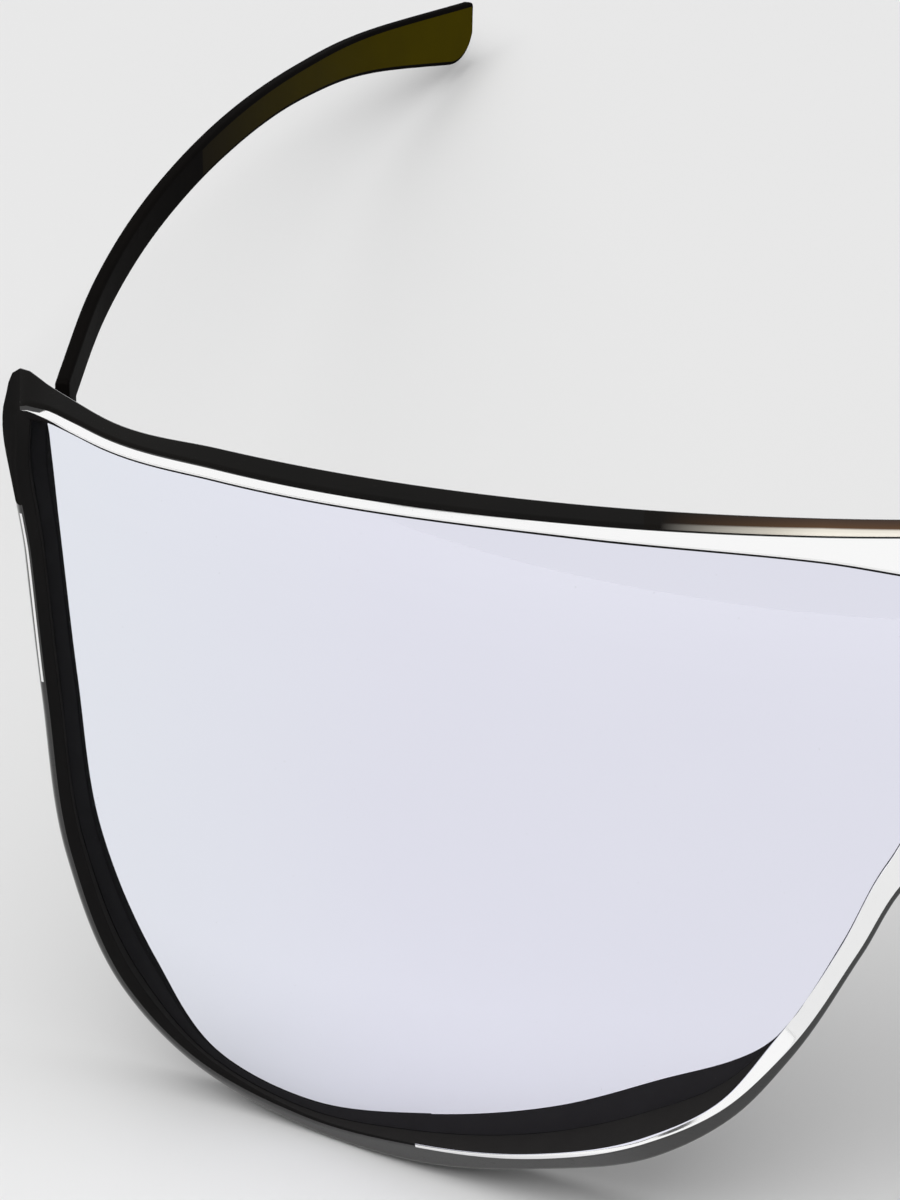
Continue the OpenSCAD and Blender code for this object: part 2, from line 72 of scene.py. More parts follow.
# Left half of the outline, from the middle of the brow to the top of the nose arch. Each row:
# share of the half width, share of the height, shares of the plain face, the ledge, the end
# piece's depth and its flare, then where the face stands out most across its width, and how far
# its outer edge and its inner edge lie back from there.
RIM_ROWS = (
    (0.000, 0.000, 2.75, 0.00, 0.00, 0.00, 0.92, 0.44, 0.12),
    (-0.167, 0.003, 1.60, 0.00, 0.00, 0.00, 0.86, 0.32, 0.12),
    (-0.405, 0.011, 1.04, 0.00, 0.00, 0.00, 0.77, 0.24, 0.12),
    (-0.780, 0.026, 0.90, 0.00, 0.00, 0.00, 0.76, 0.22, 0.12),
    (-0.902, 0.026, 0.90, 0.00, 0.00, -0.25, 0.78, 0.22, 0.12),
    (-0.935, 0.019, 0.90, 0.00, 0.15, -0.25, 0.80, 0.20, 0.10),
    (-0.967, 0.010, 0.92, 0.14, 0.20, -0.25, 0.58, 0.15, 0.05),
    (-0.991, 0.016, 0.95, 0.32, 0.25, 0.62, 0.10, 0.60, 0.50),
    (-0.999, 0.058, 0.98, 0.50, 0.35, 1.18, 0.22, 0.50, 1.00),
    (-0.989, 0.200, 1.00, 0.48, 0.20, 0.95, 0.26, 0.10, 1.00),
    (-0.978, 0.390, 1.00, 0.49, 0.00, 0.50, 0.26, 0.10, 1.00),
    (-0.962, 0.622, 1.00, 0.51, 0.00, 0.28, 0.28, 0.10, 1.05),
    (-0.909, 0.820, 1.00, 0.50, 0.00, 0.20, 0.34, 0.10, 0.95),
    (-0.834, 0.936, 1.00, 0.18, 0.00, 0.10, 0.46, 0.10, 0.45),
    (-0.720, 0.993, 1.10, 0.15, 0.00, 0.00, 0.74, 0.08, 0.12),
    (-0.603, 0.996, 1.53, 0.40, 0.00, 0.00, 0.90, 0.05, 0.06),
    (-0.461, 0.949, 1.22, 0.74, 0.00, 0.00, 0.78, 0.05, 0.06),
    (-0.339, 0.883, 1.34, 1.06, 0.00, 0.00, 0.90, 0.05, 0.42),
    (-0.256, 0.813, 1.19, 0.70, 0.00, 0.00, 0.70, 0.03, 0.34),
    (-0.201, 0.735, 1.24, 0.21, 0.00, 0.00, 0.42, 0.00, 0.78),
    (-0.125, 0.569, 1.27, 0.02, 0.00, 0.00, 0.25, 0.00, 0.20),
    (-0.076, 0.459, 1.65, 0.04, 0.00, 0.00, 0.21, 0.00, 0.30),
    (0.000, 0.392, 3.20, 0.09, 0.00, 0.00, 0.30, 0.00, 0.42),
)


def smooth_line(rows, longest, closed=False):
    """Rows along a smooth line through the given rows, no further apart than longest."""
    rows = [Vector(r) for r in rows]
    count = len(rows)

    def chord(i):
        a, b = rows[i % count], rows[(i + 1) % count]
        return b - a, math.hypot(b[0] - a[0], b[1] - a[1])

    def slope(i):
        (into, s), (out, t) = chord(i - 1), chord(i)
        if not closed and i == 0:
            return out / t
        if not closed and i == count - 1:
            return into / s
        return (into * (t / s) + out * (s / t)) / (s + t)

    line = []
    for i in range(count if closed else count - 1):
        a, b, h = rows[i], rows[(i + 1) % count], chord(i)[1]
        leave, arrive = slope(i) * h, slope((i + 1) % count) * h
        n = max(2, math.ceil(h / longest))
        for k in range(n):
            f = k / n
            line.append(
                a * (2 * f**3 - 3 * f**2 + 1) + leave * (f**3 - 2 * f**2 + f)
                + b * (3 * f**2 - 2 * f**3) + arrive * (f**3 - f**2)
            )
    return line if closed else line + [rows[-1]]


CORNER_STEPS = 4
SIDE_SHARE = 0.48


def rounded(corners, steps=CORNER_STEPS):
    """A closed section with each corner (across, along, radius) eased into a curve."""
    ring = []
    for i, (x, y, r) in enumerate(corners):
        here = Vector((x, y))
        before = Vector(corners[i - 1][:2]) - here
        after = Vector(corners[(i + 1) % len(corners)][:2]) - here
        a = here + before.normalized() * min(r, before.length * SIDE_SHARE)
        b = here + after.normalized() * min(r, after.length * SIDE_SHARE)
        for k in range(steps + 1):
            f = k / steps
            ring.append(a * (1 - f) ** 2 + here * (2 * f * (1 - f)) + b * f**2)
    return ring


def sweep(rings, closed=False):
    """Points and faces of a skin over a row of rings; an open one is capped at both ends."""
    n, m = len(rings), len(rings[0])
    faces = [
        (i * m + j, i * m + (j + 1) % m, (i + 1) % n * m + (j + 1) % m, (i + 1) % n * m + j)
        for i in range(n if closed else n - 1)
        for j in range(m)
    ]
    if not closed:
        faces += [tuple(range(m - 1, -1, -1)), tuple(range((n - 1) * m, n * m))]
    return [p for ring in rings for p in ring], faces


def shell_depth(behind, across, up):
    """Depth of the lens's front, or of a surface behind it, at a place on the front."""
    ring = WRAP_RADIUS - CROWN_RADIUS + math.sqrt((CROWN_RADIUS - behind) ** 2 - up**2)
    return WRAP_RADIUS - math.sqrt(ring**2 - across**2)


lean_back = Matrix.Rotation(-FRONT_LEAN, 3, "X")


def on_front(across, depth, up):
    """A place on the upright front, leaned back and set on the floor."""
    p = lean_back @ Vector((across, depth, up)) + FRONT_PLACE
    p.z = max(p.z, 0)
    return p


def rim_section(face, ledge, end, flare, crest, lay_back, bevel):
    """Across the rim: distance in from the outline, and distance behind the lens's front."""
    front = -FRONT_LIP - ledge
    return rounded((
        (0, front + lay_back, EDGE_ROUND),
        (face * crest, front, CREST_ROUND),
        (face, front + bevel, BEVEL_ROUND),
        (face, -LENS_GAP, GROOVE_ROUND),
        (face - LENS_BITE, -LENS_GAP, GROOVE_ROUND),
        (face - LENS_BITE, LENS_BACK, GROOVE_ROUND),
        (face, LENS_BACK, BACK_ROUND),
        (face, RIM_BACK + end, EDGE_ROUND),
        (-flare, RIM_BACK + end, EDGE_ROUND),
    ))


half = [
    (x * HALF_WIDTH, EQUATOR_DOWN - y * FRONT_HEIGHT, face * PLAIN_FACE, ledge * LEDGE_DEPTH,
     end * END_DEPTH, flare * END_FLARE, crest, lay_back, bevel)
    for x, y, face, ledge, end, flare, crest, lay_back, bevel in RIM_ROWS
]
outline = smooth_line(half + [(-r[0], *r[1:]) for r in half[-2:0:-1]], RIM_STEP, closed=True)


def inset(i, depth):
    """The point that lies inside the outline's station i, square to it."""
    here = outline[i]
    d = outline[(i + 1) % len(outline)] - outline[i - 1]
    h = math.hypot(d[0], d[1])
    return here[0] - d[1] / h * depth, here[1] + d[0] / h * depth


rim_rings = []
for i, row in enumerate(outline):
    ring = []
    for q in rim_section(*row[2:]):
        x, z = inset(i, q[0])
        ring.append(on_front(x, shell_depth(q[1], x, z), z))
    rim_rings.append(ring)

# Hinge place: the left pin's axis where it starts, and the slope of the open temple
PIN = Vector((-68.4, -51.4728, 57.1405))
TEMPLE_SLOPE = math.radians(18)
slope_down = Matrix.Rotation(-TEMPLE_SLOPE, 3, "X")
PIN_GAP = 1.65
PIN_BACK = 2.35
TEMPLE_OUT = 2.75
LEAF_LOW = -7.76
LEAF_HIGH = -3.6
FOLD_GAP = 0.35
BLOCK_OUT = -4.78
BLOCK_IN = 3.2
BLOCK_FRONT = -7.85
BLOCK_BACK = -3.05
BLOCK_EDGE = 0.15


def at_hinge(p, side):
    """A place in the left hinge's own frame, or mirrored to the right, set in the model."""
    q = slope_down @ Vector(p) + PIN
    return Vector((-q.x if side == "right" else q.x, q.y, max(q.z, 0)))


def block(corners, low, high, edge, place):
    """A solid with a rounded outline, anticlockwise, between two heights, with eased edges."""
    ring = rounded(corners)
    rings = []
    for height, by in ((low, edge), (low + 0.3 * edge, 0.3 * edge), (low + edge, 0),
                       (high - edge, 0), (high - 0.3 * edge, 0.3 * edge), (high, edge)):
        layer = []
        for i, p in enumerate(ring):
            d = (ring[(i + 1) % len(ring)] - ring[i - 1]).normalized()
            layer.append(place(p.x - d.y * by, p.y + d.x * by, height))
        rings.append(layer)
    return sweep(rings)


def behind_lens(p):
    """Keeps a point of the hinge block behind the rim's own skin."""
    q = lean_back.inverted() @ (p - FRONT_PLACE)
    q.y = max(q.y, shell_depth(LENS_BACK + BACK_LIP / 3, q.x, q.z))
    return on_front(*q)


def turned(profile, place, steps=40):
    """A skin turned round an axis from a profile of (radius, distance along)."""
    return sweep([
        [place(r * math.cos(2 * math.pi * k / steps), along, r * math.sin(2 * math.pi * k / steps))
         for k in range(steps)]
        for r, along in profile
    ])


PAD_ACROSS = 12.2
PAD_DOWN = 36
PAD_UP = EQUATOR_DOWN - PAD_DOWN
BOSS_LONG = 0.8
PEG_DEPTH = shell_depth(RIM_BACK, PAD_ACROSS, PAD_UP) + BOSS_LONG


def at_peg(side):
    """Gives places round a pad's peg: across, behind and up from where the peg starts."""
    sign = -1 if side == "left" else 1
    return lambda x, y, z: on_front(sign * (PAD_ACROSS - x), PEG_DEPTH + y, PAD_UP + z)


rim_shells = [sweep(rim_rings, closed=True)]
for side in ("left", "right"):
    rim_shells.append(block(
        ((BLOCK_OUT, BLOCK_FRONT, 0.2), (BLOCK_IN, BLOCK_FRONT, 0.2), (BLOCK_IN, BLOCK_BACK, 0.2),
         (2.5, -PIN_BACK, 0.25), (-PIN_GAP, -PIN_BACK, 0.1), (-PIN_GAP, -FOLD_GAP, 0.15),
         (BLOCK_OUT, -FOLD_GAP, 0.3)),
        LEAF_LOW - FOLD_GAP, LEAF_HIGH + FOLD_GAP / 2, BLOCK_EDGE,
        lambda x, y, z: behind_lens(at_hinge((x, y, z), side)),
    ))
    rim_shells.append(turned(
        ((1.6, -1.05), (1.6, -0.8), (1.42, -0.62), (1.35, -0.45), (1.35, -0.12), (1.31, -0.04),
         (1.2, 0), (0.75, 0), (0.75, 1.5), (0.65, 1.6), (0.05, 1.6)),
        at_peg(side),
    ))


class Tone:
    """A value or colour in a finish's node tree. Sums of tones add Math nodes to the tree."""

    def __init__(self, tree, socket=None):
        self.tree, self.socket = tree, socket

    def node(self, kind, settings=(), sockets=(), out=0):
        made = self.tree.nodes.new(kind)
        for name, value in dict(settings).items():
            if name == "stops":
                ramp = made.color_ramp.elements
                while len(ramp) < len(value):
                    ramp.new(1)
                for stop, (place, colour) in zip(ramp, value):
                    stop.position, stop.color = place, (*colour, 1)
            else:
                setattr(made, name, value)
        for name, value in dict(sockets).items():
            if isinstance(value, Tone):
                self.tree.links.new(value.socket, made.inputs[name])
            else:
                made.inputs[name].default_value = value
        return Tone(self.tree, made.outputs[out])

    def sum(self, operation, a, b=0.0):
        return self.node("ShaderNodeMath", {"operation": operation}, {0: a, 1: b})

    def __add__(self, other):
        return self.sum("ADD", self, other)

    def __sub__(self, other):
        return self.sum("SUBTRACT", self, other)

    def __rsub__(self, other):
        return self.sum("SUBTRACT", other, self)

    def __mul__(self, other):
        return self.sum("MULTIPLY", self, other)

    __radd__ = __add__
    __rmul__ = __mul__

    def __abs__(self):
        return self.sum("ABSOLUTE", self)

    def mixed(self, a, b):
        """Colour a where this tone is 0, and colour b where it is 1."""
        a, b = (c if isinstance(c, Tone) else (*c, 1) for c in (a, b))
        return self.node("ShaderNodeMix", {"data_type": "RGBA"}, {0: self, 6: a, 7: b}, out=2)

    def between(self, low, high):
        """This tone stretched so that low becomes 0 and high becomes 1, and clamped."""
        return self.node(
            "ShaderNodeMapRange", {"clamp": True}, {0: self, 1: low, 2: high, 3: 0.0, 4: 1.0},
        )

    def grain(self, place, size, detail=3.0, roughness=0.5):
        """Soft random cloud with patches of about that size in millimetres."""
        return self.node(
            "ShaderNodeTexNoise", (),
            {"Vector": place, "Scale": 1 / (size * MM), "Detail": detail, "Roughness": roughness},
        )

    def stretched(self, place, x, y, z):
        return self.node("ShaderNodeMapping", (), {"Vector": place, "Scale": (x, y, z)})

    def relief(self, height, depth):
        """Normal for a relief of that depth in millimetres."""
        return self.node(
            "ShaderNodeBump", (), {"Strength": 1.0, "Distance": depth * MM, "Height": height},
        )

    def surface(self, sockets):
        """Ends the tree in a Principled surface and hands the material back."""
        skin = self.node("ShaderNodeBsdfPrincipled", (), sockets)
        end = self.tree.nodes.new("ShaderNodeOutputMaterial")
        self.tree.links.new(skin.socket, end.inputs["Surface"])
        return self.material


def new_finish(name):
    """An empty node tree for a finish, and the object's own coordinates in it."""
    material = bpy.data.materials.new(name)
    material.use_nodes = True
    material.node_tree.nodes.clear()
    start = Tone(material.node_tree)
    start.material = material
    return start, start.node("ShaderNodeTexCoord", out="Object")


def make_piece(name, shells, body, finishes, nodes, which=None, normals=None):
    """One piece of the model from its shells, riding on a body in place of CAD nodes."""
    points, faces = [], []
    for shell_points, shell_faces in shells:
        start = len(points)
        points += [p * MM for p in shell_points]
        faces += [[start + i for i in face] for face in shell_faces]
    mesh = bpy.data.meshes.new(name)
    mesh.from_pydata(points, [], faces)
    work = bmesh.new()
    work.from_mesh(mesh)
    bmesh.ops.recalc_face_normals(work, faces=work.faces)
    work.to_mesh(mesh)
    work.free()
    mesh.shade_smooth()
    for finish in finishes:
        mesh.materials.append(finish)
    if which:
        for face in mesh.polygons:
            face.material_index = which(face.index)
    piece = bpy.data.objects.new(name, mesh)
    bpy.context.scene.collection.objects.link(piece)
    if normals is None:
        piece.modifiers.new("even_shading", "WEIGHTED_NORMAL")
    else:
        mesh.normals_split_custom_set_from_vertices(normals)
    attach(piece, body)
    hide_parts(*nodes)
    return piece


rim, place = new_finish("gloss_black_rim")
cloud = rim.grain(place, 9)
dust = rim.grain(place, 0.35, detail=5).between(0.66, 0.82)
scuff = rim.grain(rim.stretched(place, 1, 5, 7), 1.2, detail=6).between(0.58, 0.8)
rim_finish = rim.surface({
    "Base Color": (dust * 0.25).mixed(
        cloud.mixed((0.004, 0.004, 0.004), (0.008, 0.007, 0.006)), (0.05, 0.048, 0.045)),
    "Roughness": 0.045 + cloud * 0.03 + scuff * 0.09 + dust * 0.12,
    "IOR": 1.5,
    "Coat Weight": 0.7 - scuff * 0.4,
    "Coat Roughness": 0.03,
    "Coat IOR": 1.5,
    "Normal": rim.relief(rim.grain(place, 2.6, detail=2) * 0.8 + scuff * 0.2, 0.012),
})
satin, place = new_finish("satin_black_ledge")
cloud = satin.grain(place, 6)
spark = satin.grain(place, 0.12, detail=2)
satin_finish = satin.surface({
    "Base Color": cloud.mixed((0.010, 0.0098, 0.0098), (0.014, 0.0133, 0.013)),
    "Roughness": 0.55 + cloud * 0.12 + spark * 0.08,
    "IOR": 1.01,
    "Normal": satin.relief(spark, 0.008),
})
dull, place = new_finish("dull_black_wall")
cloud = dull.grain(place, 5)
spark = dull.grain(place, 0.15, detail=2)
wall_finish = dull.surface({
    "Base Color": cloud.mixed((0.020, 0.019, 0.019), (0.027, 0.026, 0.025)),
    "Roughness": 0.5 + cloud * 0.12 + spark * 0.08,
    "IOR": 1.01,
    "Normal": dull.relief(spark, 0.008),
})
bright, place = new_finish("bright_face_band")
haze = bright.grain(place, 12)
smear = bright.grain(bright.stretched(place, 1, 3, 3), 3, detail=5).between(0.55, 0.8)
speck = bright.grain(place, 0.25, detail=3).between(0.72, 0.8)
band_finish = bright.surface({
    "Base Color": (speck * 0.3).mixed(
        haze.mixed((0.955, 0.955, 0.96), (0.985, 0.985, 0.98)), (0.6, 0.6, 0.6)),
    "Metallic": 1.0,
    "Roughness": 0.07 + haze * 0.03 + smear * 0.05 + speck * 0.15,
    "Normal": bright.relief(haze, 0.01),
})
amber, place = new_finish("amber_brow_edge_and_painted_highlight")
# Metres. The brow's front edge stands at EDGE_Y in the middle and bends back to both sides; the
# amber fades out before AMBER_END, and its painted highlight, a pale line, gets thinner on the way
EDGE_Y = -0.0778
EDGE_BEND = 3.92
AMBER_END = 0.024
AMBER_FADE = 0.012
HIGHLIGHT_LINE_THINNING = 0.0004
cloud = amber.grain(place, 5)
across = amber.node("ShaderNodeSeparateXYZ", (), {"Vector": place}, out="X")
behind = amber.node("ShaderNodeSeparateXYZ", (), {"Vector": place}, out="Y")
behind = behind - EDGE_Y - across * across * EDGE_BEND
middle = (AMBER_END - abs(across)).between(0.0, AMBER_FADE)
edge = behind + (1 - middle) * HIGHLIGHT_LINE_THINNING
brown = behind.between(0.0008, 0.0026).mixed((0.11, 0.06, 0.032), (0.04, 0.033, 0.032))
# Painted highlight: a pale line along the brow's front edge, in place of the light on its rounding
painted_edge_highlight = cloud.mixed((0.80, 0.74, 0.62), (0.92, 0.88, 0.80))
amber_and_highlight_finish = amber.surface({
    "Base Color": middle.mixed(
        (0.008, 0.007, 0.006), edge.between(0.0008, 0.0005).mixed(brown, painted_edge_highlight)),
    "Roughness": 0.12 + cloud * 0.06,
    "IOR": 1.4,
    "Normal": amber.relief(amber.grain(place, 0.6), 0.004),
})
rim_finishes = [rim_finish, satin_finish, band_finish, amber_and_highlight_finish, wall_finish]
GLOSS, SATIN, BRIGHT, AMBER_AND_HIGHLIGHT, WALL = range(5)

# Every corner of the rim's section has this many points, from the outer front corner inwards
CORNER = CORNER_STEPS + 1
WALL_FIRST = 3 * CORNER - 1
WALL_END = 4 * CORNER
OUTER_SIDE = 8 * CORNER - 1
section_points = len(rim_rings[0])
# Where the finishes change: millimetres out from the middle, and up from the equator
SATIN_OUTBOARD = 44.0
AMBER_WITHIN = 25.0
BROW_UP = 20.0
BROW_END = 73.0
GLINT_LOW = 6.0
GLINT_HIGH = 19.0


def rim_part(i):
    """The finish of one face of the rim, by its place in the section and along the outline."""
    station, point = divmod(i, section_points)
    if station >= len(outline):
        return GLOSS
    if WALL_FIRST <= point < WALL_END:
        return WALL
    side, up = abs(outline[station][0]), outline[station][1]
    if up > BROW_UP:
        # Near the middle, the front edge's rounding and the top take the amber finish and its
        # painted highlight line
        if side < AMBER_WITHIN and (point < 3 or point == section_points - 1):
            return AMBER_AND_HIGHLIGHT
        if side >= BROW_END:
            return SATIN if point < WALL_FIRST or point >= OUTER_SIDE else GLOSS
        if CORNER - 2 < point < 2 * CORNER - 2:
            return BRIGHT
        return SATIN if 2 * CORNER - 2 <= point < WALL_FIRST else GLOSS
    if side > SATIN_OUTBOARD:
        if GLINT_LOW < up < GLINT_HIGH and CORNER - 2 < point < CORNER + 2:
            return BRIGHT
        return SATIN if 2 * CORNER - 1 <= point < WALL_FIRST else GLOSS
    return BRIGHT if CORNER + 2 <= point < WALL_FIRST else GLOSS


make_piece(
    "front_rim_moulding", rim_shells, "front", rim_finishes, ["front_rim"], rim_part,
)

# ---------------------------------------------------------------------------------------------
# Shield lens. One curved polycarbonate lens with a bright mirror coating on its front. Its edge
# sits in the rim's groove all round, and its back is plain smoke-grey plastic.
# ---------------------------------------------------------------------------------------------
LENS_HUB = (0, 16)
LENS_RINGS = 31
HUB_OPEN = 0.4
LEAST_TURN = 0.5


def shell_normal(behind, across, up):
    """The way a surface of the lens faces at a place on the front."""
    high = up / (CROWN_RADIUS - behind)
    flat = math.sqrt(1 - high**2)
    ring = WRAP_RADIUS - CROWN_RADIUS + (CROWN_RADIUS - behind) * flat
    side = across / ring
    return lean_back @ Vector((side * flat, -math.sqrt(1 - side**2) * flat, high))


lens_edge = []
for i in range(0, len(outline), 2):
    x, z = inset(i, outline[i][2] - LENS_BITE + LENS_GAP)
    # A place that would turn back round the hub, in a tight corner, is left out
    if lens_edge:
        ox, oz = lens_edge[-1]
        turn = (ox - LENS_HUB[0]) * (z - LENS_HUB[1]) - (oz - LENS_HUB[1]) * (x - LENS_HUB[0])
        if turn < LEAST_TURN:
            continue
    lens_edge.append((x, z))
steps_out = [(k + HUB_OPEN) / (LENS_RINGS - 1 + HUB_OPEN) for k in range(LENS_RINGS)]
lens_rings, lens_normals = [], []
for behind, sign, shares in ((0, 1, steps_out), (LENS_THICK, -1, steps_out[::-1])):
    for share in shares:
        places = [
            (LENS_HUB[0] + (x - LENS_HUB[0]) * share, LENS_HUB[1] + (z - LENS_HUB[1]) * share)
            for x, z in lens_edge
        ]
        lens_rings.append([on_front(x, shell_depth(behind, x, z), z) for x, z in places])
        lens_normals += [sign * shell_normal(behind, x, z) for x, z in places]
lens_points, lens_faces = sweep(lens_rings)
# The front's cap is put with the front's faces, ahead of the edge and the back
front_count = (len(steps_out) - 1) * len(lens_edge)
lens_faces = lens_faces[-2:-1] + lens_faces[:-2] + lens_faces[-1:]

mirror, place = new_finish("mirror_coating")
haze = mirror.grain(place, 22, detail=2)
smear = mirror.grain(mirror.stretched(place, 1, 1, 2.5), 5, detail=5, roughness=0.6)
smear = smear.between(0.5, 0.8)
speck = mirror.grain(place, 0.25, detail=2).between(0.74, 0.8)
across = mirror.node("ShaderNodeSeparateXYZ", (), {"Vector": place}, out="X")
# Painted reflection: the mirror's tint is paler and bluer towards both ends, brightening what it
# reflects there
painted_reflection_ends = abs(across).between(0.045, 0.07)
mirror_finish = mirror.surface({
    "Base Color": (speck * 0.3).mixed(
        painted_reflection_ends.mixed(haze.mixed((0.86, 0.86, 0.97), (0.88, 0.885, 0.985)), (0.90, 0.925, 0.995)),
        (0.6, 0.6, 0.62)),
    "Metallic": 1.0,
    "Roughness": 0.012 + haze * 0.01 + smear * 0.02 + speck * 0.15,
    "Normal": mirror.relief(haze, 0.01),
})
smoke, place = new_finish("smoke_lens_back")
haze = smoke.grain(place, 15, detail=3)
smear = smoke.grain(place, 3, detail=6).between(0.5, 0.75)
smoke_finish = smoke.surface({
    "Base Color": haze.mixed((0.020, 0.020, 0.024), (0.034, 0.034, 0.040)),
    "Roughness": 0.05 + haze * 0.04 + smear * 0.06,
    "IOR": 1.586,
    "Coat Weight": 0.5 + haze * 0.2,
    "Coat Roughness": 0.04,
    "Normal": smoke.relief(haze, 0.01),
})
make_piece(
    "shield_lens_mirrored", [(lens_points, lens_faces)], "front",
    [mirror_finish, smoke_finish], ["shield_lens"], lambda i: int(i > front_count), lens_normals,
)

# ---------------------------------------------------------------------------------------------
# Nose pads. Two soft pads of clear silicone, each pushed by its collar over a peg behind the
# nose arch. Each is a flat drop shape that turns back and outwards along the nose.
# ---------------------------------------------------------------------------------------------
PAD_HIGH = 13.0
PAD_WIDE = 6.4
PAD_THICK = 2.2
PAD_DISH = 0.14
PAD_RINGS = 41
PAD_POINTS = 48
POLE_OPEN = 0.4
COLLAR_LONG = 2.6
pad_turn = Matrix.Rotation(math.radians(32), 3, "Z") @ Matrix.Rotation(math.radians(16), 3, "Y")

silicone, place = new_finish("pad_silicone")
cloud = silicone.grain(place, 4, detail=4)
skin = silicone.grain(place, 0.22, detail=3)
silicone_finish = silicone.surface({
    "Base Color": cloud.mixed((0.52, 0.53, 0.55), (0.64, 0.65, 0.66)),
    "Roughness": 0.34 + cloud * 0.14 + skin * 0.06,
    "IOR": 1.41,
    "Subsurface Weight": 0.35,
    "Subsurface Radius": (0.0012, 0.0012, 0.0014),
    "Normal": silicone.relief(skin * 0.6 + cloud * 0.4, 0.02),
})
for side in ("left", "right"):
    peg = at_peg(side)
    pad_rings = []
    for k in range(PAD_RINGS):
        z = -math.cos(math.pi * (k + POLE_OPEN) / (PAD_RINGS - 1 + 2 * POLE_OPEN))
        full = (1 - abs(z) ** 2.6) ** 0.45
        ring = []
        for j in range(PAD_POINTS):
            a = 2 * math.pi * j / PAD_POINTS
            c, s = math.cos(a), math.sin(a)
            # The side that lies on the nose is a little flatter, with a shallow dish in it
            dish = PAD_DISH * max(c, 0) ** 6 * (1 - z**2)
            p = pad_turn @ Vector((
                (full * math.copysign(abs(c) ** 0.85, c) - dish) * PAD_THICK / 2,
                -full * math.copysign(abs(s) ** 0.95, s) * PAD_WIDE / 2,
                z * PAD_HIGH / 2,
            ))
            ring.append(peg(p.x, p.y + COLLAR_LONG + PAD_THICK / 4, p.z))
        pad_rings.append(ring)
    collar = turned(
        ((0.78, 0.02), (1.22, 0.02), (1.32, 0.06), (1.35, 0.16), (1.35, 1.1), (1.42, 1.6),
         (1.6, 2.0), (1.8, 2.5), (1.2, 3.0), (0.3, 3.1)),
        peg,
    )
    make_piece(
        side + "_pad_soft", [sweep(pad_rings), collar], "front",
        [silicone_finish], [side + "_nose_pad"],
    )

# ---------------------------------------------------------------------------------------------
# Hinge leaves. Small stamped leaves of stainless steel with rolled knuckles, satin from
# tumbling: two knuckles on the front's leaf and one on the temple's leaf between them.
# ---------------------------------------------------------------------------------------------
def dress(node, finish):
    """Gives a CAD node its finish in place of its plain one."""
    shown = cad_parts[node]
    shown.data.materials.clear()
    shown.data.materials.append(finish)


leaf, place = new_finish("tumbled_leaf_steel")
cloud = leaf.grain(place, 1.5, detail=4)
brush = leaf.grain(leaf.stretched(place, 1, 1, 9), 0.5, detail=4)
leaf_finish = leaf.surface({
    "Base Color": cloud.mixed((0.40, 0.385, 0.36), (0.52, 0.505, 0.48)),
    "Metallic": 1.0,
    "Roughness": 0.26 + brush * 0.16 + cloud * 0.05,
    "Normal": leaf.relief(brush * 0.7 + cloud * 0.3, 0.008),
})
for side in ("left", "right"):
    dress(side + "_front_hinge_leaf", leaf_finish)
    dress(side + "_temple_hinge_leaf", leaf_finish)

# ---------------------------------------------------------------------------------------------
# Hinge screws, washers and rivets. Turned stainless steel, brighter than the leaves: a slotted
# screw as the pin, two thin washers, and two flat-headed rivets through each leaf.
# ---------------------------------------------------------------------------------------------
turned_steel, place = new_finish("turned_bright_steel")
cloud = turned_steel.grain(place, 0.8, detail=4)
rings_cut = turned_steel.grain(turned_steel.stretched(place, 1, 1, 6), 0.15, detail=2)
fixing_finish = turned_steel.surface({
    "Base Color": cloud.mixed((0.55, 0.54, 0.52), (0.66, 0.65, 0.63)),
    "Metallic": 1.0,
    "Roughness": 0.15 + rings_cut * 0.14 + cloud * 0.05,
    "Normal": turned_steel.relief(rings_cut, 0.006),
})
for side in ("left", "right"):
    for node in ("hinge_screw", "hinge_washers", "front_leaf_rivets", "temple_leaf_rivets"):
        dress(side + "_" + node, fixing_finish)

# ---------------------------------------------------------------------------------------------
# Temples. Thin moulded plastic arms, near black, and olive along the inner flat of the rear half,
# where they let some light in. Each starts as a deeper tab at the hinge, runs back and down with
# a slow turn inwards, and ends in a flat tip with one rounded lower corner.
# ---------------------------------------------------------------------------------------------
TEMPLE_LONG = 146.3
TEMPLE_INSET = 23.0
TIP_BEND = 7.0031
TEMPLE_THICK = 1.1
TEMPLE_HIGH = 2.9
TIP_HIGH = 5.7
TIP_CORNER = 3.8
TEMPLE_ROUND = 0.35
TEMPLE_CURVE = 6
TEMPLE_STEP = 0.2
KEPT_STEPS = 6
END_EASE = 0.18
TAB_LOW = LEAF_LOW - FOLD_GAP
TAB_TOP = -1.45
TAB_LONG = 5.0
TAB_EDGE = 0.2
# Each row: share of the length, of the inset, of the bend, and of the tip's extra height
TEMPLE_ROWS = (
    (0.000, 0.000, 0.00, 0.0), (0.038, 0.000, 0.00, 0.0), (0.189, 0.010, 0.000, 0.0),
    (0.331, 0.071, 0.000, 0.0), (0.534, 0.241, 0.073, 0.0), (0.736, 0.458, 0.400, 0.05),
    (0.878, 0.653, 0.742, 0.34), (1.000, 1.000, 1.000, 1.0),
)
fine = smooth_line([
    (a * TEMPLE_LONG, b * TEMPLE_INSET, c * TIP_BEND, TEMPLE_HIGH + d * (TIP_HIGH - TEMPLE_HIGH))
    for a, b, c, d in TEMPLE_ROWS
], TEMPLE_STEP)
# The tip's rounded corner keeps every row, and the rest of the arm only some
run = [
    p for i, p in enumerate(fine) if i % KEPT_STEPS == 0 or TEMPLE_LONG - p[0] < TIP_CORNER * 1.2
]


